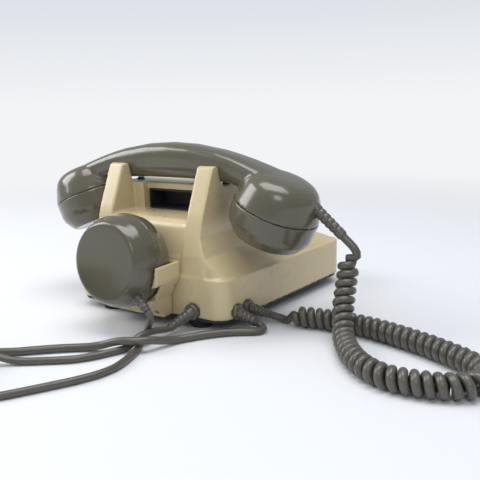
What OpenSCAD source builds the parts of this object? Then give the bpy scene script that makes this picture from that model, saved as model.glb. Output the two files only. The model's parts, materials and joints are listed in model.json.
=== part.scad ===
// Two-tone rotary desk telephone with a horned cradle, a handset on a curly cord
// and an extra listening receiver in a bracket on the back.
// Millimetres. +Z is up, the dial faces -Y, and the feet stand on z = 0.

/* [Housing] */
// Width of the skirt at the front corners
front_w = 172; // [160:1:180]
// Width of the skirt at the rear corners
rear_w = 139; // [130:1:145]
// Front face of the skirt, measured from the middle of the telephone
front_y = 102; // [98:1:104]
// Rear face of the skirt, measured from the middle of the telephone
rear_y = 63; // [62:0.5:64]
// Height at which the skirt starts, above the feet
skirt_low = 9; // [8:0.5:11]
// Height of the skirt's top edge
skirt_top = 37.5; // [35:0.5:40]
// Height of the ledge under the handset
ledge_top = 96; // [94:0.5:97]
// Height of the rear horns
horn_top = 111; // [106:0.5:116]
// Thickness of the housing wall
wall = 3; // [2.5:0.1:3.2]

/* [Dial] */
// Slope of the dial face
slope = 31; // [29:0.5:32]
// Radius of the finger wheel
wheel_r = 37; // [34:0.5:38]
// Radius of one finger hole
finger_r = 6.4; // [5.5:0.1:6.8]
// Radius of the circle of finger holes
finger_ring = 28; // [27:0.5:29]

/* [Handset] */
// Distance of each cup from the middle
cup_x = 87.2; // [86:0.2:89]
// Radius of the cups at the seam
cup_r = 31; // [29:0.5:31.5]
// Inward lean of each cup
cup_lean = 22; // [20:0.5:24]
// Height of the cups' seam
seam_z = 82; // [81:0.5:84]
// Front to back place of the handset
handset_y = 20; // [19:0.5:21]

/* [Extra receiver] */
// Largest radius of the receiver
rec_r = 32.4; // [31:0.2:32.6]
// Radius of its flat face
rec_face_r = 26; // [24:0.5:27]
// Height of its face's centre
rec_z = 52; // [51:0.5:53]
// Upward lean of its face
rec_lean = 7.5; // [6:0.5:8]

/* [Cords] */
// Diameter of the line cord
line_d = 5.2; // [4.6:0.2:5.4]
// Diameter of the receiver cord
rec_cord_d = 4.6; // [4:0.2:5]
// Outer diameter of the curly cord
curl_d = 14.5; // [13:0.5:15]

/* [Hidden] */
$fn = 64;
beige = "#cdbf9c";
olive = "#5d5b4e";
charcoal = "#2f2f34";
steel = "#b9bcc0";
brass = "#c2a15a";
black = "#1f1f20";
ivory = "#e9e4d4";

plate_t = 3;
foot_h = skirt_low - plate_t;
floor_z = 75;
horn_in = 34.5;
horn_out = 48;
pocket_y = 22;
band_w = 53;
band_z = 51;
dial_y = -48;
dial_z = ledge_top + dial_y * tan(slope);
axis_y = 100;
lead_d = 4.4;

// ---- helpers ----
function unit(v) = v / norm(v);
function turn(a) = (a + 540) % 360 - 180;

// Points of the arc that rounds corner b between a and c
function fillet(a, b, c, r, n = 6) =
    let (u = unit(a - b), w = unit(c - b), half = acos(u * w) / 2,
        centre = b + unit(u + w) * r / sin(half), s = b + u * r / tan(half),
        e = b + w * r / tan(half), a0 = atan2(s.y - centre.y, s.x - centre.x),
        a1 = atan2(e.y - centre.y, e.x - centre.x), da = turn(a1 - a0))
    [for (i = [0:n]) centre + r * [cos(a0 + da * i / n), sin(a0 + da * i / n)]];

// Closed outline whose entries are [x, y, corner radius]
function rounded(p, n = 6) =
    let (m = len(p), q = [for (k = p) [k.x, k.y]])
    [for (i = [0:m - 1]) each (p[i][2] > 0
        ? fillet(q[(i + m - 1) % m], q[i], q[(i + 1) % m], p[i][2], n) : [q[i]])];

// Skirt outline, drawn in by d
function skirt_line(d = 0) = rounded([
    [-front_w / 2 + d, -front_y + d, 15 - d], [front_w / 2 - d, -front_y + d, 15 - d],
    [rear_w / 2 - d, rear_y - 1.8 - d, 13 - d], [0, rear_y + 0.2 - d, 400],
    [-rear_w / 2 + d, rear_y - 1.8 - d, 13 - d]]);

// Solid whose outline lies in the Y-Z plane and whose thickness runs along X
module side_slab(outline, x0, x1) {
    translate([x0, 0, 0])
        rotate([90, 0, 90])
            linear_extrude(x1 - x0)
                polygon(outline);
}

// Solid whose outline lies in the X-Z plane and whose thickness runs along Y
module front_slab(outline, y0, y1) {
    translate([0, y1, 0])
        rotate([90, 0, 0])
            linear_extrude(y1 - y0)
                polygon(outline);
}

// Tube swept along a list of points
function ring(c, t, r, n) =
    let (side = unit(cross(t, abs(t.z) > 0.9 ? [1, 0, 0] : [0, 0, 1])), up = cross(side, t))
    [for (i = [0:n - 1]) c + r * (cos(360 * i / n) * side + sin(360 * i / n) * up)];

module swept(p, r, n = 8) {
    m = len(p);
    rings = [for (k = [0:m - 1]) each ring(p[k], unit(p[min(k + 1, m - 1)] - p[max(k - 1, 0)]), r, n)];
    sides = [for (k = [0:m - 2], i = [0:n - 1])
        [k * n + i, k * n + (i + 1) % n, (k + 1) * n + (i + 1) % n, (k + 1) * n + i]];
    polyhedron(rings, concat([[for (i = [n - 1:-1:0]) i]],
        [for (q = sides) q], [[for (i = [0:n - 1]) (m - 1) * n + i]]), convexity = 6);
}

// A rod between two points, thick r0 at the first and r1 at the second
module rod(a, b, r0, r1) {
    d = b - a;
    translate(a)
        rotate([0, acos(d.z / norm(d)), atan2(d.y, d.x)])
            cylinder(norm(d), r0, r1);
}

module on_dial() {
    translate([0, dial_y, dial_z])
        rotate([slope, 0, 0])
            children();
}

// Local +Z runs down and inward along the cup's axis, from the seam
module on_cup(side) {
    translate([side * cup_x, handset_y, seam_z])
        rotate([0, 180 + side * cup_lean, 0])
            children();
}

// Local +Z runs forward out of the receiver's face, from the face's centre
module on_receiver() {
    translate([0, axis_y, rec_z])
        rotate([-90 + rec_lean, 0, 0])
            children();
}

// ---- housing ----
// Hump in the middle, where the floor between the horns is low
hump_mid = rounded([[-front_y + 3, skirt_top - 1, 0], [-front_y + 5, skirt_top + 2.5, 3],
    [-2, ledge_top, 6], [pocket_y, ledge_top, 2], [pocket_y, floor_z, 3],
    [rear_y - 8.5, floor_z, 8], [rear_y - 1.5, skirt_top - 1, 0]]);

// Side profile of the horned plates
hump_side = rounded([[-front_y + 3, skirt_top - 1, 0], [-front_y + 5, skirt_top + 2.5, 3],
    [-2, ledge_top, 6], [24, ledge_top, 0], [28.3, ledge_top + 1, 2], [32.5, horn_top, 2.5], [38.5, horn_top, 2.5],
    [53, 78, 60], [rear_y - 3, 52, 0], [rear_y - 1.5, skirt_top - 1, 0]]);

// Deck, band and upright sides, seen along Y
hump_front = [[-horn_out, 130], [-horn_out, 64], [-band_w, band_z], [-band_w, 20],
    [band_w, 20], [band_w, band_z], [horn_out, 64], [horn_out, 130]];

// The broad deck slopes from the skirt's edge up to the foot of the hump
module deck(d) {
    hull() {
        translate([0, 0, skirt_top - d])
            linear_extrude(0.01)
                polygon(skirt_line(2.5 + d));
        translate([0, 0, band_z - d])
            linear_extrude(0.01)
                polygon([[-band_w + d, -front_y + 16], [band_w - d, -front_y + 16],
                    [band_w - d, rear_y - 3 - d], [-band_w + d, rear_y - 3 - d]]);
    }
}

module hump() {
    intersection() {
        union() {
            side_slab(hump_mid, -horn_in, horn_in);
            side_slab(hump_side, horn_in, band_w);
            side_slab(hump_side, -band_w, -horn_in);
            translate([horn_out - 23, pocket_y - 4, floor_z - 2])
                cube([23, 10, ledge_top - floor_z + 2]);
            translate([-horn_out, pocket_y - 4, floor_z - 2])
                cube([23, 10, ledge_top - floor_z + 2]);
        }
        front_slab(hump_front, -front_y, rear_y);
    }
}

// Side profile of the inside of the hump
hollow_side = [[-front_y + 9, 20], [-front_y + 9, skirt_top - 1], [-3, ledge_top - wall - 0.6],
    [pocket_y - wall, ledge_top - wall], [pocket_y - wall, floor_z - wall],
    [rear_y - 13, floor_z - wall], [rear_y - 6, skirt_top], [rear_y - 6, 20]];

module housing_hollow() {
    w = horn_out - wall;
    intersection() {
        side_slab(hollow_side, -w, w);
        front_slab([[-w, 130], [-w, 64], [-w, 20], [w, 20], [w, 64], [w, 130]], -front_y, rear_y);
    }
    translate([0, 0, skirt_low - 1])
        linear_extrude(skirt_top - wall - skirt_low + 1)
            polygon(skirt_line(wall));
    intersection() {
        deck(wall);
        side_slab([[-front_y + 14, 10], [-front_y + 14, skirt_top - wall], [-68, band_z - wall - 2],
            [rear_y - 7.5, band_z - wall], [rear_y - 7.5, 10]], -80, 80);
    }
}

screw_spots = [[-56, 44], [56, 44], [-66, -74], [66, -74]];

module outer_form() {
    translate([0, 0, skirt_low])
        linear_extrude(skirt_top - skirt_low)
            polygon(skirt_line());
    intersection() {
        deck(0);
        side_slab([[-front_y + 2, 10], [-front_y + 6, skirt_top], [-74, band_z - 0.8],
            [rear_y - 3.6, band_z - 0.8], [rear_y - 2, skirt_top], [rear_y - 2, 10]], -90, 90);
    }
    hump();
}

module screw_bosses() {
    intersection() {
        outer_form();
        for (s = screw_spots)
            translate([s.x, s.y, skirt_low])
                cylinder(60, r = 4.5);
    }
}

module gland_holes() {
    translate([receiver_gland_x, rear_y + 5, gland_z])
        rotate([90, 0, 0])
            cylinder(12, r = 5);
    for (y = [line_gland_y, handset_gland_y])
        translate([-60, y, gland_z])
            rotate([0, -90, 0])
                cylinder(20, r = 5);
}

module housing() {
    color(beige)
        difference() {
            union() {
                difference() {
                    outer_form();
                    housing_hollow();
                }
                screw_bosses();
                translate([-27.5, 0, floor_z - 2.5])
                    cube([55, pocket_y - 1, ledge_top - floor_z]);
            }
            // carrying pocket under the ledge
            translate([-25, 2.5, floor_z])
                cube([50, pocket_y + 5, ledge_top - floor_z - 5.5]);
            translate([-25, pocket_y, floor_z])
                cube([50, 10, 40]);
            on_dial() {
                translate([0, 0, -20])
                    cylinder(30, r = wheel_r - 3);
                cylinder(10, r = wheel_r + 8.3);
            }
            for (side = [-1, 1])
                translate([side * 41, handset_y - 8, 70])
                    cylinder(40, r = 3.4);
            for (s = screw_spots)
                translate([s.x, s.y, skirt_low - 1])
                    cylinder(16, r = 1.7);
            gland_holes();
        }
}

module pocket_lining() {
    color(charcoal)
        difference() {
            translate([-24.9, 2.6, floor_z + 0.1])
                cube([49.8, pocket_y - 3, 15.2]);
            translate([-23.7, 3.8, floor_z + 1.1])
                cube([47.4, 30, 13.2]);
        }
}

// ---- base ----
module base_plate() {
    color(charcoal)
        difference() {
            translate([0, 0, foot_h])
                linear_extrude(plate_t)
                    polygon(skirt_line(1.5));
            for (s = screw_spots)
                translate([s.x, s.y, 0])
                    cylinder(20, r = 1.7);
            gland_holes();
        }
}

module feet() {
    color(black)
        for (x = [-1, 1], y = [-76, 50])
            translate([x * (y < 0 ? 52 : 42), y, 0])
                difference() {
                    cylinder(foot_h, r1 = 8, r2 = 9);
                    translate([0, 0, -1])
                        cylinder(3, r = 4);
                }
}

module base_screws() {
    color(steel)
        for (s = screw_spots)
            translate([s.x, s.y, foot_h - 2]) {
                cylinder(2, r = 3.2);
                cylinder(15, r = 1.7);
            }
}

// ---- dial ----
module number_ring() {
    color(ivory)
        on_dial()
            difference() {
                cylinder(1.2, r = wheel_r + 5);
                translate([0, 0, -1])
                    cylinder(4, r = 8);
            }
}

module dial_bezel() {
    color(olive)
        on_dial()
            difference() {
                cylinder(3.4, r1 = wheel_r + 8, r2 = wheel_r + 6.2);
                translate([0, 0, -1])
                    cylinder(6, r = wheel_r + 5);
            }
}

stop_a = -32;

module finger_stop() {
    color(steel)
        on_dial()
            rotate([0, 0, stop_a]) {
                translate([finger_ring - 6, -1.6, 5.6])
                    cube([wheel_r + 9 - finger_ring, 3.2, 1.2]);
                translate([wheel_r + 1.6, -1.6, 1.2])
                    cube([1.4, 3.2, 5.6]);
            }
}

module dial_plate() {
    color(steel)
        on_dial() {
            difference() {
                translate([0, 0, -5])
                    cylinder(2, r = wheel_r - 4);
                translate([0, 0, -6])
                    cylinder(8, r = 3.35);
            }
            for (a = [60, 180, 300])
                rotate([0, 0, a])
                    translate([wheel_r - 7, 0, -3])
                        cylinder(3, r = 2);
        }
}

module spring_barrel() {
    color(brass)
        on_dial()
            difference() {
                translate([0, 0, -20])
                    cylinder(7, r = 13);
                translate([0, 0, -21])
                    cylinder(10, r = 3.4);
            }
}

module governor_cup() {
    color(brass)
        on_dial()
            translate([20, -12, -16])
                rotate([0, 90, 0])
                    difference() {
                        cylinder(7, r = 6.5);
                        translate([0, 0, -1])
                            cylinder(6, r = 5.2);
                    }
}

module pulse_contacts() {
    color(brass)
        on_dial() {
            translate([-24, -16, -13])
                cube([9, 7, 8]);
            for (k = [0:3])
                translate([-22 + 2 * k, -9, -12])
                    cube([0.5, 14, 4]);
        }
}

module finger_wheel() {
    color(olive)
        on_dial()
            difference() {
                translate([0, 0, 2])
                    cylinder(2.8, r = wheel_r);
                for (k = [0:9])
                    rotate([0, 0, stop_a + 60 + 30 * k])
                        translate([finger_ring, 0, 0])
                            cylinder(10, r = finger_r);
                translate([0, 0, -1])
                    cylinder(10, r = 3);
            }
}

module hub_cap() {
    color(ivory)
        on_dial()
            translate([0, 0, 4.8])
                cylinder(1.2, r1 = 15, r2 = 14);
}

module dial_shaft() {
    color(steel)
        on_dial() {
            translate([0, 0, -22])
                cylinder(26.8, r = 3);
        }
}

module dial_gear() {
    color(brass)
        on_dial() {
            difference() {
                translate([0, 0, -9])
                    cylinder(1.5, r = 15);
                translate([0, 0, -10])
                    cylinder(5, r = 3);
            }
            difference() {
                translate([0, 0, -11.5])
                    cylinder(2.5, r = 10);
                translate([0, 0, -13])
                    cylinder(5, r = 3);
                translate([6, -3, -13])
                    cube([6, 6, 4]);
            }
        }
}

module governor_rotor() {
    color(steel)
        on_dial()
            translate([8, -12, -16]) {
                rotate([0, 90, 0])
                    cylinder(16, r = 1);
                translate([13, -2.2, -4])
                    cube([3.4, 4.4, 8]);
            }
}

// ---- hook switch ----
module hook_plunger(side) {
    color(olive)
        translate([side * 41, handset_y - 8, 0]) {
            translate([0, 0, 62])
                cylinder(ledge_top + 0.8 - 62, r = 3);
            translate([0, 0, ledge_top + 0.8])
                cylinder(1, r1 = 3, r2 = 2.2);
        }
}

module hook_lever() {
    color(steel)
        difference() {
            translate([-45, handset_y - 11.5, 60])
                cube([90, 7, 2]);
            translate([-10, handset_y - 12, 50])
                cube([20, 3, 20]);
        }
}

module hook_contacts() {
    color(brass) {
        translate([14, handset_y - 12, 9])
            cube([10, 8, 3]);
        for (k = [0:3])
            translate([15 + 2.2 * k, handset_y - 10, 12])
                cube([0.6, 5, 45]);
    }
}

// ---- ringer ----
gong_x = 27;
gong_y = 36;

module ringer_frame() {
    color(steel) {
        translate([-34, gong_y - 17, 9])
            cube([68, 31, 2]);
        translate([-7, gong_y - 17, 11])
            cube([14, 2, 30]);
        for (side = [-1, 1])
            translate([side * gong_x, gong_y, 11])
                cylinder(24, r = 3);
    }
}

module ringer_coils() {
    color("#8c3b2a")
        for (side = [-1, 1])
            translate([side * 8.5, gong_y - 8.5, 11])
                cylinder(22, r = 6);
}

module gong(side) {
    color(steel)
        translate([side * gong_x, gong_y, 35])
            rotate_extrude()
                polygon([[3.2, 10], [12, 9], [17.5, 5], [18.6, 0], [17.4, 0], [16.5, 4.4],
                    [11.6, 7.8], [3.2, 8.8]]);
}

module gong_screws() {
    color(brass)
        for (side = [-1, 1])
            translate([side * gong_x, gong_y, 35]) {
                cylinder(11, r = 3);
                translate([0, 0, 10.1])
                    cylinder(2, r = 5);
            }
}

module ringer_hammer() {
    color(brass) {
        translate([0, gong_y, 22])
            cylinder(16, r = 0.9);
        translate([0, gong_y, 38])
            sphere(r = 4);
        translate([-6, gong_y - 1, 20])
            cube([12, 2, 2.2]);
        translate([0, gong_y - 2.2, 22])
            rotate([-90, 0, 0])
                cylinder(4.4, r = 1.3);
    }
}

// ---- electrics ----
module circuit_board() {
    color("#6b5a2e")
        translate([-50, -84, 13])
            difference() {
                cube([86, 42, 1.6]);
                for (x = [4, 82], y = [4, 38])
                    translate([x, y, -1])
                        cylinder(4, r = 1.5);
            }
    color(black)
        for (x = [-46, 32], y = [-80, -46])
            translate([x, y, 9])
                cylinder(4, r = 3);
}

module induction_coil() {
    color("#40454a") {
        translate([-44, -76, 14.6])
            cube([22, 18, 12]);
        translate([-40, -79, 16])
            cube([14, 24, 9]);
    }
}

module capacitor() {
    color(steel)
        translate([-10, -68, 19.8])
            rotate([0, 90, 0])
                cylinder(24, r = 5.2);
}

module terminal_block() {
    color(ivory)
        difference() {
            translate([-14, -56, 14.6])
                cube([40, 9, 7]);
            for (k = [0:4])
                translate([-10 + 8 * k, -51.5, 16])
                    cylinder(8, r = 1.8);
        }
}

// ---- bracket and glands ----
module receiver_bracket() {
    outline = rounded([[-35, 49.5, 1], [-35, 38, 6], [-27, 24, 8], [-27, skirt_low, 2],
        [27, skirt_low, 2], [27, 24, 8], [35, 38, 6], [35, 49.5, 1]], 4);
    color(beige)
        difference() {
            intersection() {
                front_slab(outline, rear_y + 0.2, 88);
                side_slab([[60, 5], [71, 5], [74, 13], [88, 31], [88, 60], [60, 60]], -40, 40);
            }
            on_receiver()
                translate([0, 0, -36])
                    cylinder(60, r = rec_r + 0.7);
            translate([-38, 80, 29])
                rotate([0, 20, 0])
                    cube([20, 20, 8]);
            for (side = [-1, 1])
                translate([side * 21, rear_y - 5, 13])
                    rotate([-90, 0, 0])
                        cylinder(60, r = 1.6);
        }
}

module bracket_screws() {
    color(steel)
        for (side = [-1, 1])
            translate([side * 21, rear_y - 8.6, 13])
                rotate([-90, 0, 0]) {
                    cylinder(3, r = 3.4);
                    cylinder(15, r = 1.6);
                }
}

// A grommet in the wall and its tapering strain relief
module gland(flange_at, out, root, tip, r0, r1) {
    rod(flange_at - 6 * out, flange_at + 2.5 * out, 5, 5);
    rod(flange_at, flange_at + 2.5 * out, 5.8, 5.2);
    rod(root, tip, r0, r1);
}

gland_z = 13.5;
line_gland_y = 47.5;
handset_gland_y = 36;
receiver_gland_x = -43.5;
receiver_gland_tip = [-36, 79, 5.5];
line_gland_tip = [-83, 42.5, 6];
handset_gland_tip = [-84, 24, 6];

module receiver_gland() {
    color(olive)
        gland([receiver_gland_x, rear_y, gland_z], [0, 1, 0], [receiver_gland_x, rear_y, gland_z],
            receiver_gland_tip, 4.4, 2.9);
}

module line_gland() {
    color(olive)
        gland([-70.6, line_gland_y, gland_z], [-1, 0, 0], [-70.6, line_gland_y, gland_z],
            line_gland_tip, 4.4, 3.3);
}

module handset_gland() {
    color(olive)
        gland([-71.9, handset_gland_y, gland_z], [-1, 0, 0], [-71.9, handset_gland_y, gland_z],
            handset_gland_tip, 4.4, 2.9);
}

// ---- handset ----
grip_line = rounded([[-106, 101.5, 4], [-84, 112.5, 120], [0, 129, 200], [84, 112.5, 120],
    [106, 101.5, 4], [94, 92, 2], [61, 92, 6], [50, 98.2, 10], [0, 99.6, 300], [-50, 98.2, 10],
    [-61, 92, 6], [-94, 92, 2]]);

// Cross sections of the grip and of the arms that run into the cups
grip_section = rounded([[handset_y - 7.2, 90, 0], [handset_y - 7.2, 97.5, 3],
    [handset_y - 11.8, 112, 8], [handset_y - 11.2, 119, 6], [handset_y - 6, 130, 6],
    [handset_y + 6, 130, 6], [handset_y + 11.2, 119, 6], [handset_y + 11.8, 112, 8],
    [handset_y + 7.2, 97.5, 3], [handset_y + 7.2, 90, 0]], 4);
arm_section = rounded([[handset_y - 16, 80, 4], [handset_y - 16, 106, 8],
    [handset_y - 7, 130, 10], [handset_y + 7, 130, 10],
    [handset_y + 16, 106, 8], [handset_y + 16, 80, 4]]);

// The grip seen from above, narrow between the horns
grip_top = rounded([[-130, handset_y - 17, 0], [-78, handset_y - 17, 20],
    [-50, handset_y - 11.8, 40], [50, handset_y - 11.8, 40], [78, handset_y - 17, 20],
    [130, handset_y - 17, 0], [130, handset_y + 17, 0], [78, handset_y + 17, 20],
    [50, handset_y + 11.8, 40], [-50, handset_y + 11.8, 40], [-78, handset_y + 17, 20],
    [-130, handset_y + 17, 0]]);

module cup_solid() {
    rotate_extrude()
        polygon([[0, -25], [14, -25], [20.5, -23.5], [25.5, -19], [28, -12], [cup_r, 0], [0, 0]]);
}

module handset_body() {
    color(olive)
        difference() {
            union() {
                intersection() {
                    front_slab(grip_line, handset_y - 17, handset_y + 17);
                    union() {
                        side_slab(grip_section, -53, 53);
                        side_slab(arm_section, 53, 130);
                        side_slab(arm_section, -130, -53);
                    }
                    linear_extrude(150)
                        polygon(grip_top);
                }
                for (side = [-1, 1])
                    on_cup(side)
                        cup_solid();
            }
            for (side = [-1, 1])
                on_cup(side)
                    translate([0, 0, -13])
                        cylinder(40, r = cup_r - 6.5);
        }
}

module cup_cap() {
    difference() {
        rotate_extrude()
            polygon([[0, 0.05], [cup_r, 0.05], [cup_r - 0.4, 12], [cup_r - 1.6, 16],
                [cup_r - 6.5, 22.8], [cup_r - 8.5, 23.6], [10, 22.4], [0, 22.4]]);
        translate([0, 0, -1])
            cylinder(18, r = cup_r - 5);
        for (a = [0:60:300])
            rotate([0, 0, a])
                translate([7, 0, 0])
                    cylinder(40, r = 1.6);
    }
}

module ear_cap() {
    color(olive)
        on_cup(1)
            cup_cap();
}

module mouth_cap() {
    color(olive)
        on_cup(-1)
            cup_cap();
}

module capsule() {
    translate([0, 0, 1])
        cylinder(12.9, r = cup_r - 5.4);
    translate([0, 0, -8])
        cylinder(9, r = 14);
}

module ear_capsule() {
    color(steel)
        on_cup(1)
            capsule();
}

module mouth_capsule() {
    color(black)
        on_cup(-1)
            capsule();
}

relief_root = [-117.2, 18, 82.5];
relief_tip = [-134, 18, 68];

module handset_relief() {
    color(olive) {
        rod(relief_root + [3.5, 0, 3], relief_tip, 3.4, 2.9);
        rod(relief_root + [3, 0, 2.6], relief_root + [-1, 0, -0.9], 5, 4.6);
    }
}

// ---- extra receiver ----
module receiver_shell() {
    color(olive)
        difference() {
            union() {
                on_receiver()
                    rotate_extrude()
                        polygon([[0, -35], [24, -35], [28.6, -33.5], [31, -28], [rec_r, -22],
                            [rec_r, -17], [0, -17]]);
                translate([-23, 90, 33])
                    sphere(r = 6);
            }
            on_receiver() {
                for (a = [0:60:300])
                    rotate([0, 0, a])
                        translate([7, 0, -40])
                            cylinder(20, r = 1.6);
                translate([0, 0, -32])
                    cylinder(33, r = 24);
                translate([0, 0, -17.01])
                    cylinder(30, r = 60);
            }
        }
}

module receiver_cap() {
    color(olive)
        on_receiver()
            difference() {
                rotate_extrude()
                    polygon([[0, -16.95], [rec_r, -16.95], [31, -9], [28.4, -3], [rec_face_r + 0.6, -0.4],
                        [rec_face_r - 1, 0], [0, 0]]);
                translate([0, 0, -18])
                    cylinder(15.5, r = 24.6);
            }
}

module receiver_capsule() {
    color(steel)
        on_receiver()
            translate([0, 0, -18])
                cylinder(15.3, r = 23.6);
}

rec_relief_root = [-20, 94, 31];
rec_relief_tip = [-32, 95.5, 22];

module receiver_relief() {
    color(olive) {
        rod(rec_relief_root, rec_relief_tip, 3.6, 2.7);
    }
}

// ---- cords ----
curl_path = [[-100, 24, 7.6], [-112, 20, 7.6], [-124, 18, 7.6], [-138, 17, 7.6], [-152, 18, 7.6],
    [-168, 21, 7.6], [-184, 26, 7.6], [-198, 31, 7.6], [-211, 37, 7.6], [-222, 43, 7.6],
    [-231, 51, 7.6], [-235, 61, 7.6], [-231, 71, 7.6], [-222, 78, 7.6], [-212, 82, 7.6],
    [-201, 84, 7.6], [-190, 84, 7.6], [-180, 81, 7.6], [-171, 75, 7.6], [-162, 66, 7.6],
    [-154, 55, 7.6], [-148, 45, 9], [-144, 37, 14], [-141, 30, 22], [-140, 25, 30],
    [-139.5, 21, 39],
    [-139.5, 18.5, 47], [-139.5, 18, 53.5]];

low_lead_path = [[-84, 24, 6], [-87.5, 21.5, 4.4], [-91.5, 20.5, 3.4], [-96, 21, 3.4], [-100, 22.5, 3.4]];

high_lead_path = [[-134.3, 18, 67.7], [-137.5, 18, 64.8], [-140.8, 18, 62], [-143.6, 18, 59],
    [-145.2, 18, 56], [-144.4, 18, 53.6]];

receiver_path = [[-32.4, 95.55, 21.7], [-34, 95.75, 20.5], [-34.8, 95.8, 18.6],
    [-34.2, 95.4, 16], [-32.2, 94.3, 13.4], [-29.6, 92.7, 10.6], [-27.4, 91.4, 7.8],
    [-26.2, 91.2, 5], [-25.8, 93.2, 3], [-26.4, 96.4, 2.4], [-28.2, 100, 2.4], [-31, 104, 2.4],
    [-34.2, 108.5, 2.4], [-37, 114.5, 2.4], [-39.2, 121, 2.4], [-41.5, 130, 2.4],
    [-42.6, 140, 2.4], [-40.5, 151, 2.4], [-35, 163, 2.4], [-29, 173, 2.4], [-22, 184, 2.4],
    [-14, 196, 2.4], [-4, 208, 2.4], [8, 219, 2.4], [22, 228, 2.4], [37, 233, 2.4],
    [52, 234.5, 2.4]];

return_path = [[-36, 79, 5.5], [-35.2, 83, 5.7], [-34.4, 87, 6.6], [-33.6, 91.5, 7.4],
    [-32.8, 96, 7.8], [-32, 100.5, 7.8], [-31.3, 104.3, 7.5], [-30.5, 107.4, 6],
    [-29.6, 110.4, 3.8], [-28.4, 114, 2.5], [-26.6, 118.5, 2.4], [-24, 124, 2.4],
    [-20, 131.5, 2.4], [-13, 141, 2.4], [-4, 148.5, 2.4], [4, 154, 2.4], [12, 159.4, 2.4],
    [20, 164.5, 3.6], [28.5, 170, 7.4], [37, 174.6, 12.8], [47, 177.6, 17.2],
    [58, 178.5, 18.7]];

line_path = [[-83, 42.5, 6], [-86, 41.2, 4.2], [-88.3, 42.4, 3], [-88.8, 46, 2.7],
    [-86, 50, 2.7], [-80.6, 53.2, 2.7], [-74, 57.5, 2.7], [-66, 64.6, 2.7], [-58.5, 73, 2.7],
    [-53.7, 79.7, 2.7], [-49.8, 85.4, 2.8], [-47, 91.5, 3.6], [-45, 98, 5.2], [-42.8, 104, 7],
    [-40, 109, 8.1], [-35.5, 113, 8.3], [-29, 116, 8.2], [-22.5, 118.3, 7], [-15, 121, 4.6],
    [-7, 124.8, 3], [2, 130.4, 2.7], [12, 137.8, 2.7], [22, 146.5, 2.7], [33, 155.5, 2.7],
    [48, 163, 2.7], [66, 167, 2.7], [84, 169, 2.7], [104, 172, 2.7], [124, 176.5, 2.7],
    [139, 181.5, 2.7]];

tail_path = [[139, 181.5, 34.2], [150, 181.9, 33], [162, 183.6, 29.2], [174, 187.4, 23.6],
    [185, 193.2, 17.8], [194, 200.4, 12.8], [200.2, 208.4, 9.4], [204.1, 219, 8]];

module curly_cord() {
    color(olive)
        swept(curl_path, curl_d / 2, 10);
}

module curly_lead_low() {
    color(olive)
        swept(low_lead_path, lead_d / 2);
}

module curly_lead_high() {
    color(olive)
        swept(high_lead_path, lead_d / 2);
}

module receiver_cord() {
    color(olive)
        swept(receiver_path, rec_cord_d / 2);
}

module receiver_cord_return() {
    color(olive)
        swept(return_path, rec_cord_d / 2);
}

module line_cord() {
    color(olive)
        swept(line_path, line_d / 2);
}

module line_cord_tail() {
    color(olive)
        swept(tail_path, line_d / 2);
}

// Outer shape of a round coil lying on the floor
module coil(at, mean_r, thick, high) {
    translate(at)
        rotate_extrude()
            translate([mean_r - thick / 2, 0])
                square([thick, high]);
}

module receiver_cord_coil() {
    color(olive)
        coil([58, 206.5, 0.1], 28, rec_cord_d * 1.02, 20.9);
}

module line_cord_coil() {
    color(olive)
        coil([139, 212.5, 0.1], 31, line_d * 1.02, 36.7);
}

module coil_ties() {
    color(black) {
        difference() {
            translate([166, 210.5, 0])
                cube([8, 4, 38.2]);
            translate([167, 210, 0.05])
                cube([6, 6, 36.9]);
        }
        difference() {
            translate([82, 204.5, 0])
                cube([8, 4, 22.4]);
            translate([83, 204, 0.05])
                cube([5.8, 6, 21.1]);
        }
    }
}

plug_at = [205.6, 225, 8];

module line_plug() {
    color(ivory)
        translate(plug_at)
            rotate([0, 0, 76]) {
                translate([0, -11, -8])
                    cube([26, 22, 16]);
                translate([-7, 0, 0])
                    rotate([0, 90, 0])
                        cylinder(8, r1 = 4, r2 = 6);
            }
}

module plug_pins() {
    color(brass)
        translate(plug_at)
            rotate([0, 0, 76])
                for (k = [-1, 0, 1])
                    translate([26, 6 * k, 0])
                        rotate([0, 90, 0])
                            cylinder(14, r = 1.6);
}

housing();
pocket_lining();
base_plate();
feet();
base_screws();
number_ring();
dial_bezel();
finger_stop();
dial_plate();
spring_barrel();
governor_cup();
pulse_contacts();
finger_wheel();
hub_cap();
dial_shaft();
dial_gear();
governor_rotor();
hook_plunger(-1);  // hook_plunger_left
hook_plunger(1);  // hook_plunger_right
hook_lever();
hook_contacts();
ringer_frame();
ringer_coils();
gong(-1);  // gong_left
gong(1);  // gong_right
gong_screws();
ringer_hammer();
circuit_board();
induction_coil();
capacitor();
terminal_block();
receiver_bracket();
bracket_screws();
receiver_gland();
line_gland();
handset_gland();
handset_body();
ear_cap();
mouth_cap();
ear_capsule();
mouth_capsule();
handset_relief();
receiver_shell();
receiver_cap();
receiver_capsule();
receiver_relief();
curly_cord();
curly_lead_low();
curly_lead_high();
receiver_cord();
receiver_cord_coil();
receiver_cord_return();
line_cord();
line_cord_coil();
line_cord_tail();
line_plug();
plug_pins();
coil_ties();
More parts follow.
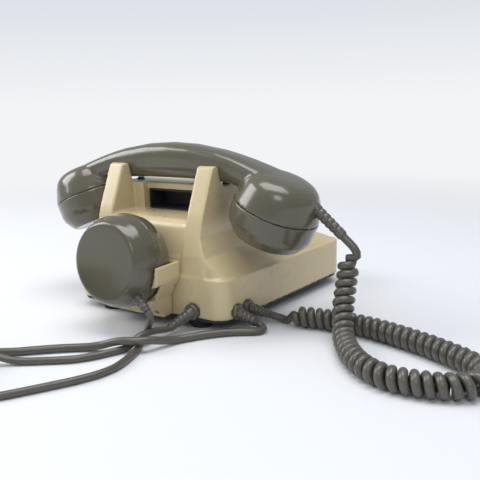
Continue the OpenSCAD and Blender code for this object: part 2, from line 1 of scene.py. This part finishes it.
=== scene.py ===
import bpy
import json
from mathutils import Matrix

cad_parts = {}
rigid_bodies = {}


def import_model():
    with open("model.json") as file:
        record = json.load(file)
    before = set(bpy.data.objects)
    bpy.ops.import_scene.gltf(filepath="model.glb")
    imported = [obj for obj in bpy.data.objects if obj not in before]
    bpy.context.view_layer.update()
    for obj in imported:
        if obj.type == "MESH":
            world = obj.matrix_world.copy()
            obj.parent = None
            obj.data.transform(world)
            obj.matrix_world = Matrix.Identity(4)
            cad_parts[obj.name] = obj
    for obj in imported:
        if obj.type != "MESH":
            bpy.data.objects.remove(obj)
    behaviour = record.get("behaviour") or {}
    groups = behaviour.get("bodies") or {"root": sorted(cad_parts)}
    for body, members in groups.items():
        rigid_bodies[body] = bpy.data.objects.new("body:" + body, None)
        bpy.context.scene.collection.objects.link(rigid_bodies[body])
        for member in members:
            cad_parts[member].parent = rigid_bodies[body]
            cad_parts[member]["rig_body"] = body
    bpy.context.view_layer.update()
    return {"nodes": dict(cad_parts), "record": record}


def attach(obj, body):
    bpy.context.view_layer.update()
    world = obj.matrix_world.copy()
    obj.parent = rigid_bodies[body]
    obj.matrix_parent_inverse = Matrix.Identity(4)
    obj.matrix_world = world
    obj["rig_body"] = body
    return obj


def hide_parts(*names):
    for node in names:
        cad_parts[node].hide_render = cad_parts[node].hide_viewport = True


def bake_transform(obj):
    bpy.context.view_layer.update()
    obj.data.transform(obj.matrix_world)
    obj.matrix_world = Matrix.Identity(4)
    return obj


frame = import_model()

import json
import math
import bpy
from mathutils import Matrix, Vector

cadNodes = frame["nodes"]
mm = 0.001


# ---- small helpers ----
def toLinear(hexColour):
    parts = [int(hexColour[i:i + 2], 16) / 255 for i in (0, 2, 4)]
    return [c / 12.92 if c <= 0.04045 else ((c + 0.055) / 1.055) ** 2.4 for c in parts] + [1.0]


def selectOnly(piece):
    bpy.ops.object.select_all(action="DESELECT")
    piece.select_set(True)
    bpy.context.view_layer.objects.active = piece


def applyAll(piece):
    selectOnly(piece)
    for m in list(piece.modifiers):
        bpy.ops.object.modifier_apply(modifier=m.name)


def dress(piece, material):
    piece.data.materials.clear()
    piece.data.materials.append(material)


def settle(piece, node, material):
    # the piece takes the place of a CAD node, on the body that the node is on
    dress(piece, material)
    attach(piece, cadNodes[node]["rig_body"])
    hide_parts(node)


def meshPiece(name, corners, faces):
    mesh = bpy.data.meshes.new(name)
    mesh.from_pydata([tuple(c) for c in corners], [], faces)
    mesh.update()
    piece = bpy.data.objects.new(name, mesh)
    bpy.context.scene.collection.objects.link(piece)
    return piece


def softenSkin(piece, voxel, rounds):
    # one closed skin over the piece, eased so that its edges are rounded as a mould rounds them
    net = piece.modifiers.new("net", "REMESH")
    net.mode = "VOXEL"
    net.voxel_size = voxel * mm
    net.use_smooth_shade = True
    ease = piece.modifiers.new("ease", "SMOOTH")
    ease.factor = 0.5
    ease.iterations = rounds
    applyAll(piece)
    bpy.ops.object.shade_smooth()
    print(piece.name, len(piece.data.polygons), "faces")


# ---- camera ----
camera = {"place": (-0.2872, 0.3795, 0.1532), "right": (-0.8446, -0.5348, -0.0249),
          "up": (0.0972, -0.1989, 0.9752), "forward": (0.5265, -0.8212, -0.2200), "lens": 45.53}
cameraData = bpy.data.cameras.new("studioCamera")
cameraData.lens = camera["lens"]
cameraData.sensor_width = 36
cameraData.clip_start = 0.01
cameraData.clip_end = 60
cameraObject = bpy.data.objects.new("studioCamera", cameraData)
bpy.context.scene.collection.objects.link(cameraObject)
look = -Vector(camera["forward"]).normalized()
side = Vector(camera["up"]).cross(look).normalized()
lift = look.cross(side)
cameraTurn = Matrix((side, lift, look)).transposed().to_4x4()
cameraObject.matrix_world = Matrix.Translation(camera["place"]) @ cameraTurn
bpy.context.scene.camera = cameraObject
print("camera placed")


# ---- materials ----
def addNode(tree, kind, **values):
    node = tree.nodes.new(kind)
    for key, value in values.items():
        if key.startswith("in_"):
            node.inputs[key[3:].replace("_", " ")].default_value = value
        else:
            setattr(node, key, value)
    return node


def makeSurface(name, look):
    material = bpy.data.materials.new(name)
    material.use_nodes = True
    tree = material.node_tree
    shader = tree.nodes["Principled BSDF"]
    shader.inputs["Metallic"].default_value = look.get("metal", 0.0)
    shader.inputs["Coat Weight"].default_value = look.get("coat", 0.0)
    shader.inputs["Coat Roughness"].default_value = 0.12
    shader.inputs["Specular IOR Level"].default_value = look.get("specular", 0.5)
    place = addNode(tree, "ShaderNodeTexCoord")
    cloud = addNode(tree, "ShaderNodeTexNoise", in_Scale=look.get("cloudScale", 18.0), in_Detail=4.0)
    grain = addNode(tree, "ShaderNodeTexNoise", in_Scale=look.get("grainScale", 900.0), in_Detail=2.0)
    smear = addNode(tree, "ShaderNodeTexNoise", in_Scale=55.0, in_Detail=5.0)
    for node in (cloud, grain, smear):
        tree.links.new(place.outputs["Object"], node.inputs["Vector"])
    shade = addNode(tree, "ShaderNodeMix", data_type="RGBA")
    shade.inputs[6].default_value = toLinear(look["colour"])
    shade.inputs[7].default_value = toLinear(look["second"])
    spread = addNode(tree, "ShaderNodeMapRange")
    spread.inputs["From Min"].default_value = 0.35
    spread.inputs["From Max"].default_value = 0.65
    tree.links.new(cloud.outputs["Fac"], spread.inputs["Value"])
    tree.links.new(spread.outputs["Result"], shade.inputs[0])
    tree.links.new(shade.outputs[2], shader.inputs["Base Color"])
    rough = addNode(tree, "ShaderNodeMapRange")
    rough.inputs["From Min"].default_value = 0.3
    rough.inputs["From Max"].default_value = 0.7
    rough.inputs["To Min"].default_value = look["rough"] - look.get("roughSpread", 0.04)
    rough.inputs["To Max"].default_value = look["rough"] + look.get("roughSpread", 0.04)
    tree.links.new(smear.outputs["Fac"], rough.inputs["Value"])
    tree.links.new(rough.outputs["Result"], shader.inputs["Roughness"])
    bump = addNode(tree, "ShaderNodeBump", in_Strength=look.get("bump", 0.05), in_Distance=0.0001)
    tree.links.new(grain.outputs["Fac"], bump.inputs["Height"])
    tree.links.new(bump.outputs["Normal"], shader.inputs["Normal"])
    return material


surfaces = {
    "beige_shell": makeSurface("moulded sand ABS", {"colour": "c4b48e", "second": "c2b18b", "rough": 0.3,
                               "coat": 0.25, "bump": 0.04}),
    "olive_shell": makeSurface("moulded olive ABS", {"colour": "585545", "second": "535040", "rough": 0.22,
                               "coat": 0.5, "bump": 0.03}),
    "dark_base": makeSurface("charcoal base plastic", {"colour": "2b2c33", "second": "24252b", "rough": 0.55,
                             "bump": 0.25, "grainScale": 1400.0}),
    "foot_rubber": makeSurface("black rubber", {"colour": "151516", "second": "1d1d1e", "rough": 0.75,
                               "bump": 0.3}),
    "olive_rubber": makeSurface("olive cord rubber", {"colour": "55524a", "second": "4d4a42", "rough": 0.34,
                                "coat": 0.3, "bump": 0.12, "grainScale": 1600.0}),
    "ivory_plastic": makeSurface("ivory plastic", {"colour": "e6e0cd", "second": "ded7c2", "rough": 0.32,
                                 "coat": 0.2}),
    "zinc_steel": makeSurface("zinc plated steel", {"colour": "b4b7ba", "second": "a7abad", "rough": 0.3,
                              "metal": 1.0, "roughSpread": 0.08, "bump": 0.1}),
    "yellow_brass": makeSurface("plain brass", {"colour": "bf9c55", "second": "a98a4a", "rough": 0.32,
                                "metal": 1.0, "roughSpread": 0.08}),
    "coil_tape": makeSurface("wound red tape", {"colour": "7a3426", "second": "6b2c20", "rough": 0.6,
                             "bump": 0.3}),
    "board": makeSurface("paper laminate", {"colour": "6e5b30", "second": "5f4e28", "rough": 0.5,
                         "bump": 0.2}),
    "black_plastic": makeSurface("black phenolic", {"colour": "161617", "second": "1d1d1e", "rough": 0.4}),
}
slotOf = {entry["node"]: entry["material_slot"] for entry in frame["record"]["subparts"]}
for nodeName, cadObject in cadNodes.items():
    dress(cadObject, surfaces[slotOf[nodeName]])
print("materials made")


# ---- cords ----
def smoothRoute(points, step):
    # even points on a smooth curve through the route points, in metres
    ends = [points[0] * 2 - points[1]] + points + [points[-1] * 2 - points[-2]]
    fine = []
    for a, b, c, d in zip(ends, ends[1:], ends[2:], ends[3:]):
        count = max(2, int((c - b).length / 0.0004))
        for i in range(count):
            t = i / count
            fine.append(0.5 * (2 * b + (c - a) * t + (2 * a - 5 * b + 4 * c - d) * t * t
                               + (3 * b - 3 * c + d - a) * t ** 3))
    fine.append(points[-1])
    total = sum((q - p).length for p, q in zip(fine, fine[1:]))
    wanted = total / max(2, round(total / step))
    even, walked = [fine[0]], 0.0
    for p, q in zip(fine, fine[1:]):
        gap = (q - p).length
        while gap > 1e-9 and walked + gap >= wanted - 1e-9:
            p = p + (q - p) * ((wanted - walked) / gap)
            even.append(p)
            gap = (q - p).length
            walked = 0.0
        walked += gap
    if (even[-1] - fine[-1]).length > wanted * 0.5:
        even.append(fine[-1])
    else:
        even[-1] = fine[-1]
    return even


def inMetres(rows):
    return [Vector(r) * mm for r in rows]


def frameAlong(line):
    # a sideways direction at each point that never twists suddenly
    last = len(line) - 1
    tangents = [(line[min(i + 1, last)] - line[max(i - 1, 0)]).normalized() for i in range(last + 1)]
    across = [tangents[0].orthogonal().normalized()]
    for t in tangents[1:]:
        across.append((across[-1] - t * across[-1].dot(t)).normalized())
    return tangents, across


def tubeAlong(name, line, radius, around=12):
    # closed tube, with radius a number or a function of the place along it
    tangents, across = frameAlong(line)
    corners, faces = [], []
    for i, p in enumerate(line):
        r = radius(i / (len(line) - 1)) if callable(radius) else radius
        other = tangents[i].cross(across[i])
        for k in range(around):
            a = 2 * math.pi * k / around
            corners.append(p + r * (math.cos(a) * across[i] + math.sin(a) * other))
    for i in range(len(line) - 1):
        for k in range(around):
            j = (k + 1) % around
            faces.append((i * around + k, i * around + j, (i + 1) * around + j, (i + 1) * around + k))
    last = (len(line) - 1) * around
    faces.append(tuple(reversed(range(around))))
    faces.append(tuple(range(last, last + around)))
    piece = meshPiece(name, corners, faces)
    selectOnly(piece)
    bpy.ops.object.shade_smooth_by_angle(angle=math.radians(50))
    return piece


def lengthOf(line):
    return sum((q - p).length for p, q in zip(line, line[1:]))


def roundTurns(centre, radius, start, turns, climb, low, perTurn=28):
    # turns is positive for anticlockwise seen from above
    count = int(abs(turns) * perTurn)
    line = []
    for i in range(count + 1):
        a = math.radians(start) + 2 * math.pi * turns * i / count
        line.append(Vector((centre[0] + radius * math.cos(a), centre[1] + radius * math.sin(a),
                            low + climb * abs(turns) * i / count)) * mm)
    return line


curlyCord = {"wire": 5.4, "radius": 4.7, "pitch": 5.8, "tightest": 5.6, "perTurn": 14}
curlRoute = [[-100, 24, 7.6], [-112, 20, 7.6], [-124, 18, 7.6], [-138, 17, 7.6], [-152, 18, 7.6],
             [-168, 21, 7.6], [-184, 26, 7.6], [-198, 31, 7.6], [-211, 37, 7.6], [-222, 43, 7.6],
             [-231, 51, 7.6], [-235, 61, 7.6], [-231, 71, 7.6], [-222, 78, 7.6], [-212, 82, 7.6],
             [-201, 84, 7.6], [-190, 84, 7.6], [-180, 81, 7.6], [-171, 75, 7.6], [-162, 66, 7.6],
             [-154, 55, 7.6], [-148, 45, 9], [-144, 37, 14], [-141, 30, 22], [-140, 25, 30],
             [-139.5, 21, 39], [-139.5, 18.5, 47], [-139.5, 18, 53.5]]
lowLead = [[-84, 24, 6], [-87.5, 21.5, 4.4], [-91.5, 20.5, 3.4], [-96, 21, 3.4]]
highLead = [[-144.4, 18, 53.6], [-145.2, 18, 56], [-143.6, 18, 59], [-140.8, 18, 62], [-137.5, 18, 64.8],
            [-134.3, 18, 67.7]]


def curlLine(route, settings):
    # a helix round the route, its turns spread where a bend would make them touch on the inside
    step, endFade, reach = 0.0005, 0.006, 12
    axis = smoothRoute(inMetres(route), step)
    tangents, across = frameAlong(axis)
    angle, line = 0.0, []
    turnsStep = 2 * math.pi / settings["perTurn"]
    total, nextAngle = len(axis), 0.0
    for i, p in enumerate(axis):
        back, ahead = max(i - reach, 0), min(i + reach, total - 1)
        bend = tangents[back].angle(tangents[ahead], 0.0) / max((ahead - back) * step, 1e-6)
        inner = max(0.2, 1 - bend * settings["radius"] * mm)
        pitch = max(settings["pitch"] * mm, settings["tightest"] * mm / inner)
        while angle >= nextAngle:
            fade = min(1.0, angle / (2 * math.pi), (total - 1 - i) * step / endFade)
            r = settings["radius"] * mm * max(0.0, fade)
            other = tangents[i].cross(across[i])
            line.append(p + r * (math.cos(angle) * across[i] + math.sin(angle) * other))
            nextAngle += turnsStep
        angle += 2 * math.pi * step / pitch
    return line


curlPoints = inMetres(lowLead) + curlLine(curlRoute, curlyCord)[2:-2] + inMetres(highLead)
curlPath = smoothRoute(curlPoints, 0.0022)
curlPiece = tubeAlong("handsetCurlyCord", curlPath, curlyCord["wire"] * mm / 2, 12)

receiverRoute = [[-32.4, 95.55, 21.7], [-34, 95.75, 20.5], [-34.8, 95.8, 18.6], [-34.2, 95.4, 16],
                 [-32.2, 94.3, 13.4], [-29.6, 92.7, 10.6], [-27.4, 91.4, 7.8], [-26.2, 91.2, 5],
                 [-25.8, 93.2, 3], [-26.4, 96.4, 2.4], [-28.2, 100, 2.4], [-31, 104, 2.4],
                 [-34.2, 108.5, 2.4], [-37, 114.5, 2.4], [-39.2, 121, 2.4], [-41.5, 130, 2.4],
                 [-42.6, 140, 2.4], [-40.5, 151, 2.4], [-35, 163, 2.4], [-29, 173, 2.4],
                 [-22, 184, 2.4], [-14, 196, 2.4], [-4, 208, 2.4], [8, 219, 2.4], [22, 228, 2.4],
                 [37, 233, 2.4]]
returnRoute = [[-36, 79, 5.5], [-35.2, 83, 5.7], [-34.4, 87, 6.6], [-33.6, 91.5, 7.4], [-32.8, 96, 7.8],
               [-32, 100.5, 7.8], [-31.3, 104.3, 7.5], [-30.5, 107.4, 6], [-29.6, 110.4, 3.8],
               [-28.4, 114, 2.5], [-26.6, 118.5, 2.4], [-24, 124, 2.4], [-20, 131.5, 2.4],
               [-13, 141, 2.4], [-4, 148.5, 2.4], [4, 154, 2.4], [12, 159.4, 2.4], [20, 164.5, 3.6],
               [28.5, 170, 7.4], [37, 174.6, 12.8], [47, 177.6, 17.2]]
receiverCord = {"thick": 4.6, "coilCentre": (58, 206.5), "coilRadius": 28, "turns": -3.5 - 6 / 360,
                "climb": 4.66, "low": 2.4}
receiverTurns = roundTurns(receiverCord["coilCentre"], receiverCord["coilRadius"], 96, receiverCord["turns"],
                           receiverCord["climb"], receiverCord["low"])
receiverPath = smoothRoute(inMetres(receiverRoute) + receiverTurns + inMetres(returnRoute[::-1]), 0.0025)
dropEnd = next(i for i, p in enumerate(receiverPath) if p.z < 2.45 * mm)
dropPiece = tubeAlong("receiverCordDrop", receiverPath[:dropEnd + 1], receiverCord["thick"] * mm / 2, 14)
runPath = receiverPath[dropEnd:][::-1]
receiverPiece = tubeAlong("receiverCordRun", runPath, receiverCord["thick"] * mm / 2, 14)

lineRoute = [[-83, 42.5, 6], [-86, 41.2, 4.2], [-88.3, 42.4, 3], [-88.8, 46, 2.7], [-86, 50, 2.7],
             [-80.6, 53.2, 2.7], [-74, 57.5, 2.7], [-66, 64.6, 2.7], [-58.5, 73, 2.7], [-53.7, 79.7, 2.7],
             [-49.8, 85.4, 2.8], [-47, 91.5, 3.6], [-45, 98, 5.2], [-42.8, 104, 7], [-40, 109, 8.1],
             [-35.5, 113, 8.3], [-29, 116, 8.2], [-22.5, 118.3, 7], [-15, 121, 4.6], [-7, 124.8, 3],
             [2, 130.4, 2.7], [12, 137.8, 2.7], [22, 146.5, 2.7], [33, 155.5, 2.7], [48, 163, 2.7],
             [66, 167, 2.7], [84, 169, 2.7], [104, 172, 2.7], [124, 176.5, 2.7]]
tailRoute = [[150, 181.9, 33], [162, 183.6, 29.2], [174, 187.4, 23.6], [185, 193.2, 17.8],
             [194, 200.4, 12.8], [200.2, 208.4, 9.4], [204.1, 219, 8]]
lineCord = {"thick": 5.2, "coilCentre": (139, 212.5), "coilRadius": 31, "turns": 6, "climb": 5.25, "low": 2.7}
lineTurns = roundTurns(lineCord["coilCentre"], lineCord["coilRadius"], -90, lineCord["turns"],
                       lineCord["climb"], lineCord["low"])
linePath = smoothRoute(inMetres(lineRoute) + lineTurns + inMetres(tailRoute), 0.0025)
linePiece = tubeAlong("lineCordRun", linePath, lineCord["thick"] * mm / 2, 14)


# ---- strain reliefs and grommets ----
def ribbedRelief(name, root, tip, thick, thin, ribs):
    # tapered sleeve with moulded grooves, a little rounded at the mouth
    a, b = Vector(root) * mm, Vector(tip) * mm
    line = [a.lerp(b, i / 60) for i in range(61)]

    def size(t):
        base = thick + (thin - thick) * t
        wave = 0.5 + 0.5 * math.cos(2 * math.pi * ribs * t)
        groove = 0.0 if t < 0.12 or t > 0.9 else 0.45 * (1 - wave) ** 3
        mouth = 0.35 * max(0.0, (t - 0.94) / 0.06) ** 2
        return (base - groove - mouth) * mm
    return tubeAlong(name, line, size, 24)


def reliefWithCollar(name, root, tip, thick, thin, ribs, collar):
    sleeve = ribbedRelief(name, root, tip, thick, thin, ribs)
    if collar:
        at = Vector(collar["at"]) * mm
        way = Vector(collar["way"]).normalized()
        wide = collar["wide"]
        deep = collar["deep"]
        profile = [(-6, wide * 0.86), (-0.2, wide * 0.86), (0, wide), (deep * 0.55, wide),
                   (deep * 0.9, wide * 0.93), (deep, wide * 0.8)]
        line = [at + way * (u * mm) for u, _ in profile]
        sizes = [r * mm for _, r in profile]
        ring = tubeAlong(name + "Collar", line, lambda t: sizes[round(t * (len(sizes) - 1))], 32)
        bpy.ops.object.select_all(action="DESELECT")
        ring.select_set(True)
        sleeve.select_set(True)
        bpy.context.view_layer.objects.active = sleeve
        bpy.ops.object.join()
    return sleeve


def collarAt(at, way):
    return {"at": at, "way": way, "wide": 5.7, "deep": 2.5}


# name, root, tip, radius at the root, radius at the tip, grooves, collar
glands = {
    "receiver_gland": reliefWithCollar("receiverGrommet", (-43.5, 63, 13.5), (-36, 79, 5.5), 4.4, 2.9, 6,
                                       collarAt((-43.5, 62.9, 13.5), (0, 1, 0))),
    "line_gland": reliefWithCollar("lineGrommet", (-70.6, 47.5, 13.5), (-83, 42.5, 6), 4.4, 3.3, 5,
                                   collarAt((-70.6, 47.5, 13.5), (-1, 0, 0))),
    "handset_gland": reliefWithCollar("handsetGrommet", (-71.9, 36, 13.5), (-84, 24, 6), 4.4, 2.9, 6,
                                      collarAt((-71.9, 36, 13.5), (-1, 0, 0))),
    "handset_relief": reliefWithCollar("handsetCupRelief", (-113.7, 18, 85.5), (-135.4, 18, 66.8),
                                       4.1, 3.5, 7, None),
    "receiver_relief": reliefWithCollar("receiverCupRelief", (-20, 94, 31), (-32, 95.5, 22),
                                        3.6, 2.7, 4, None),
}
for nodeName, piece in glands.items():
    settle(piece, nodeName, surfaces["olive_rubber"])

for piece, nodesOf in ((curlPiece, ("curly_cord", "curly_lead_low", "curly_lead_high")),
                       (dropPiece, ("receiver_cord",)),
                       (receiverPiece, ("receiver_cord", "receiver_cord_coil", "receiver_cord_return")),
                       (linePiece, ("line_cord", "line_cord_coil", "line_cord_tail"))):
    dress(piece, surfaces["olive_rubber"])
    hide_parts(*nodesOf)
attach(receiverPiece, "base")
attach(linePiece, "base")
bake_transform(dropPiece)
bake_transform(curlPiece)


print("cord lengths", [round(lengthOf(path), 4) for path in (curlPath, receiverPath, runPath, linePath)])


# ---- softened mouldings ----
def mouldedCopy(name, node, voxel, rounds):
    piece = bpy.data.objects.new(name, cadNodes[node].data.copy())
    bpy.context.scene.collection.objects.link(piece)
    selectOnly(piece)
    bpy.ops.object.mode_set(mode="EDIT")
    bpy.ops.mesh.select_all(action="SELECT")
    bpy.ops.mesh.remove_doubles(threshold=0.000002)
    bpy.ops.mesh.customdata_custom_splitnormals_clear()
    bpy.ops.object.mode_set(mode="OBJECT")
    softenSkin(piece, voxel, rounds)
    return piece


def latheAt(name, profile, place, lean, around=72):
    # profile of (radius, height) pairs turned round its own axis, then leaned about y and moved
    turn = Matrix.Translation(Vector(place) * mm) @ Matrix.Rotation(math.radians(lean), 4, "Y")
    corners, faces = [], []
    for r, h in profile:
        for k in range(around):
            a = 2 * math.pi * k / around
            corners.append(turn @ (Vector((r * math.cos(a), r * math.sin(a), h)) * mm))
    for i in range(len(profile) - 1):
        for k in range(around):
            n = (k + 1) % around
            faces.append((i * around + k, i * around + n, (i + 1) * around + n, (i + 1) * around + k))
    faces.append(tuple(reversed(range(around))))
    faces.append(tuple(range((len(profile) - 1) * around, len(profile) * around)))
    return meshPiece(name, corners, faces)


def easeAlong(rows, x):
    # each column's value at x, straight between rows of (x, value, value, ...)
    for a, b in zip(rows, rows[1:]):
        if x <= b[0]:
            u = (x - a[0]) / (b[0] - a[0])
            return [p + (q - p) * u for p, q in zip(a[1:], b[1:])]
    return list(rows[-1][1:])


# each row of the grip: x, top, underside, half width
grip = {"rows": [(0, 126.2, 99.8, 11.6), (20, 125.2, 99.7, 11.7), (44, 121.4, 99.0, 12.2),
                 (56, 118.4, 97.6, 12.9), (66, 115.4, 94.6, 14.0), (78, 111.2, 92.6, 15.4),
                 (90, 106.4, 91.6, 16.2), (100, 101.8, 91.0, 15.4), (106, 98.4, 91.0, 13.2)],
        "y": 20, "square": 2.9, "around": 48}
cups = (("earCup", (87.2, 20, 82), 202), ("mouthCup", (-87.2, 20, 82), 158))
cupProfile = [(31, 0), (30, -4), (28.8, -8), (27.6, -12), (26, -15.6), (23.8, -18.6), (20.6, -21),
              (16, -22.7), (10, -23.5), (4, -23.7)]


def gripLoft(name, settings):
    # closed bar, its section a rounded square that widens into the cups
    corners, faces, around = [], [], settings["around"]
    steps = [-106 + 2 * i for i in range(107)]
    for x in steps:
        top, low, wide = easeAlong(settings["rows"], abs(x))
        for k in range(around):
            a = 2 * math.pi * k / around
            c, s = math.cos(a), math.sin(a)
            y = math.copysign(abs(c) ** (2 / settings["square"]), c) * wide
            z = math.copysign(abs(s) ** (2 / settings["square"]), s) * (top - low) / 2 + (top + low) / 2
            corners.append((x * mm, (settings["y"] + y) * mm, z * mm))
    for i in range(len(steps) - 1):
        for k in range(around):
            n = (k + 1) % around
            faces.append((i * around + k, (i + 1) * around + k, (i + 1) * around + n, i * around + n))
    faces.append(tuple(range(around)))
    faces.append(tuple(reversed(range((len(steps) - 1) * around, len(steps) * around))))
    return meshPiece(name, corners, faces)


def melt(piece, voxel, rounds):
    # merges the joined parts of a piece into one skin
    selectOnly(piece)
    bpy.ops.object.mode_set(mode="EDIT")
    bpy.ops.mesh.select_all(action="SELECT")
    bpy.ops.mesh.normals_make_consistent(inside=False)
    bpy.ops.object.mode_set(mode="OBJECT")
    softenSkin(piece, voxel, rounds)


# name, CAD node, voxel in mm, rounds of easing
mouldings = [
    ("shellWithHorns", "housing", 1.0, 2), ("bracketShell", "receiver_bracket", 0.8, 3),
    ("earCapMoulding", "ear_cap", 0.7, 4),
    ("mouthCapMoulding", "mouth_cap", 0.7, 4), ("receiverBackMoulding", "receiver_shell", 0.8, 3),
    ("receiverCapMoulding", "receiver_cap", 0.7, 3), ("baseTray", "base_plate", 1.1, 3),
    ("rubberFeet", "feet", 0.6, 3), ("dialRim", "dial_bezel", 0.5, 3),
    ("fingerWheelDisc", "finger_wheel", 0.5, 2),
    ("hubDisc", "hub_cap", 0.35, 2), ("plugBody", "line_plug", 0.7, 4)]
made = {}
gripPiece = gripLoft("handsetGrip", grip)  # joined with its two cups below
bpy.ops.object.select_all(action="DESELECT")
for sideName, centre, lean in cups:
    cup = latheAt(sideName, cupProfile, centre, lean)
    cup.select_set(True)
gripPiece.select_set(True)
bpy.context.view_layer.objects.active = gripPiece
bpy.ops.object.join()
melt(gripPiece, 1.0, 7)
settle(gripPiece, "handset_body", surfaces["olive_shell"])
for pieceName, nodeName, voxel, rounds in mouldings:
    made[nodeName] = mouldedCopy(pieceName, nodeName, voxel, rounds)
    settle(made[nodeName], nodeName, surfaces[slotOf[nodeName]])
print("mouldings made")


# ---- dial numbers ----
slope = math.radians(31)
dial = {"y": -48, "z": 96 - 48 * math.tan(slope), "ring": 28, "first": 28, "size": 7.5, "deep": 0.06,
        "lift": 1.27}
tilt = Matrix.Translation(Vector((0, dial["y"], dial["z"])) * mm) @ Matrix.Rotation(slope, 4, "X")
digits = []
for k in range(10):
    bpy.ops.object.select_all(action="DESELECT")
    bpy.ops.object.text_add()
    text = bpy.context.object
    text.data.body = str((k + 1) % 10)
    text.data.size = dial["size"] * mm
    text.data.align_x = "CENTER"
    text.data.align_y = "CENTER"
    text.data.extrude = dial["deep"] * mm
    selectOnly(text)
    bpy.ops.object.convert(target="MESH")
    digit = bpy.context.object
    a = math.radians(dial["first"] + 30 * k)
    seat = Vector((dial["ring"] * math.cos(a), dial["ring"] * math.sin(a), dial["lift"])) * mm
    digit.data.transform(tilt @ Matrix.Translation(seat))
    digit.matrix_world = Matrix.Identity(4)
    digits.append(digit)
bpy.ops.object.select_all(action="DESELECT")
for digit in digits:
    digit.select_set(True)
bpy.context.view_layer.objects.active = digits[0]
bpy.ops.object.join()
dialNumbers = bpy.context.object
dialNumbers.name = "dialNumbers"
dress(dialNumbers, surfaces["black_plastic"])
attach(dialNumbers, "base")
print("dial numbers made")

# ---- floor and light ----
bpy.ops.object.select_all(action="DESELECT")
bpy.ops.mesh.primitive_plane_add(size=200, location=(0, 0, 0))
studioFloor = bpy.context.object
studioFloor.name = "studioFloor"
floorSurface = makeSurface("white studio paper", {"colour": "dddee1", "second": "dbdce0", "rough": 0.7,
                           "cloudScale": 1.5, "specular": 0.1, "bump": 0.02})
paper = floorSurface.node_tree
place = addNode(paper, "ShaderNodeTexCoord")
near = addNode(paper, "ShaderNodeVectorMath", operation="LENGTH")
paper.links.new(place.outputs["Object"], near.inputs[0])
fade = addNode(paper, "ShaderNodeMapRange", interpolation_type="SMOOTHSTEP")
fade.inputs["From Min"].default_value = 0.3
fade.inputs["From Max"].default_value = 0.95
paper.links.new(near.outputs["Value"], fade.inputs["Value"])
glow = addNode(paper, "ShaderNodeEmission")
glow.inputs["Color"].default_value = toLinear("f3f4f6")
glow.inputs["Strength"].default_value = 1.0
paperMix = addNode(paper, "ShaderNodeMixShader")
paper.links.new(fade.outputs["Result"], paperMix.inputs[0])
paper.links.new(paper.nodes["Principled BSDF"].outputs[0], paperMix.inputs[1])
paper.links.new(glow.outputs[0], paperMix.inputs[2])
paper.links.new(paperMix.outputs[0], paper.nodes["Material Output"].inputs["Surface"])
dress(studioFloor, floorSurface)

studio = {"sky": "d9dee6", "fill": 0.6, "top": 14.0, "key": 11.0, "back": 5.0}
world = bpy.data.worlds.new("softStudio")
bpy.context.scene.world = world
world.use_nodes = True
sky = world.node_tree.nodes["Background"]
above = addNode(world.node_tree, "ShaderNodeTexCoord")
split = addNode(world.node_tree, "ShaderNodeSeparateXYZ")
rise = addNode(world.node_tree, "ShaderNodeMapRange")
rise.inputs["From Min"].default_value = 0.0
rise.inputs["From Max"].default_value = 0.18
skyMix = addNode(world.node_tree, "ShaderNodeMix", data_type="RGBA")
skyMix.inputs[6].default_value = toLinear("f3f4f6")
skyMix.inputs[7].default_value = toLinear(studio["sky"])
for source, target in ((above.outputs["Generated"], split.inputs[0]),
                       (split.outputs["Z"], rise.inputs["Value"]),
                       (rise.outputs["Result"], skyMix.inputs[0]),
                       (skyMix.outputs[2], sky.inputs["Color"])):
    world.node_tree.links.new(source, target)
seen = addNode(world.node_tree, "ShaderNodeLightPath")
dim = addNode(world.node_tree, "ShaderNodeMapRange")
dim.inputs["To Min"].default_value = studio["fill"]
dim.inputs["To Max"].default_value = 1.0
world.node_tree.links.new(seen.outputs["Is Camera Ray"], dim.inputs["Value"])
world.node_tree.links.new(dim.outputs["Result"], sky.inputs["Strength"])


def softBox(name, place, aim, size, power):
    data = bpy.data.lights.new(name, "AREA")
    data.shape = "RECTANGLE"
    data.size, data.size_y = size
    data.energy = power
    lamp = bpy.data.objects.new(name, data)
    bpy.context.scene.collection.objects.link(lamp)
    lamp.location = place
    lamp.rotation_euler = (Vector(aim) - Vector(place)).to_track_quat("-Z", "Y").to_euler()


softBox("overheadBox", (-0.1, 0.1, 1.4), (0, 0, 0.05), (1.3, 0.8), studio["top"])
softBox("windowBox", (1.1, 0.5, 0.8), (0, 0, 0.07), (0.8, 0.8), studio["key"])
softBox("backBox", (-0.9, 1.3, 1.2), (0, 0, 0.07), (0.6, 0.6), studio["back"])
bpy.context.scene.view_settings.view_transform = "Standard"
print("stage set")
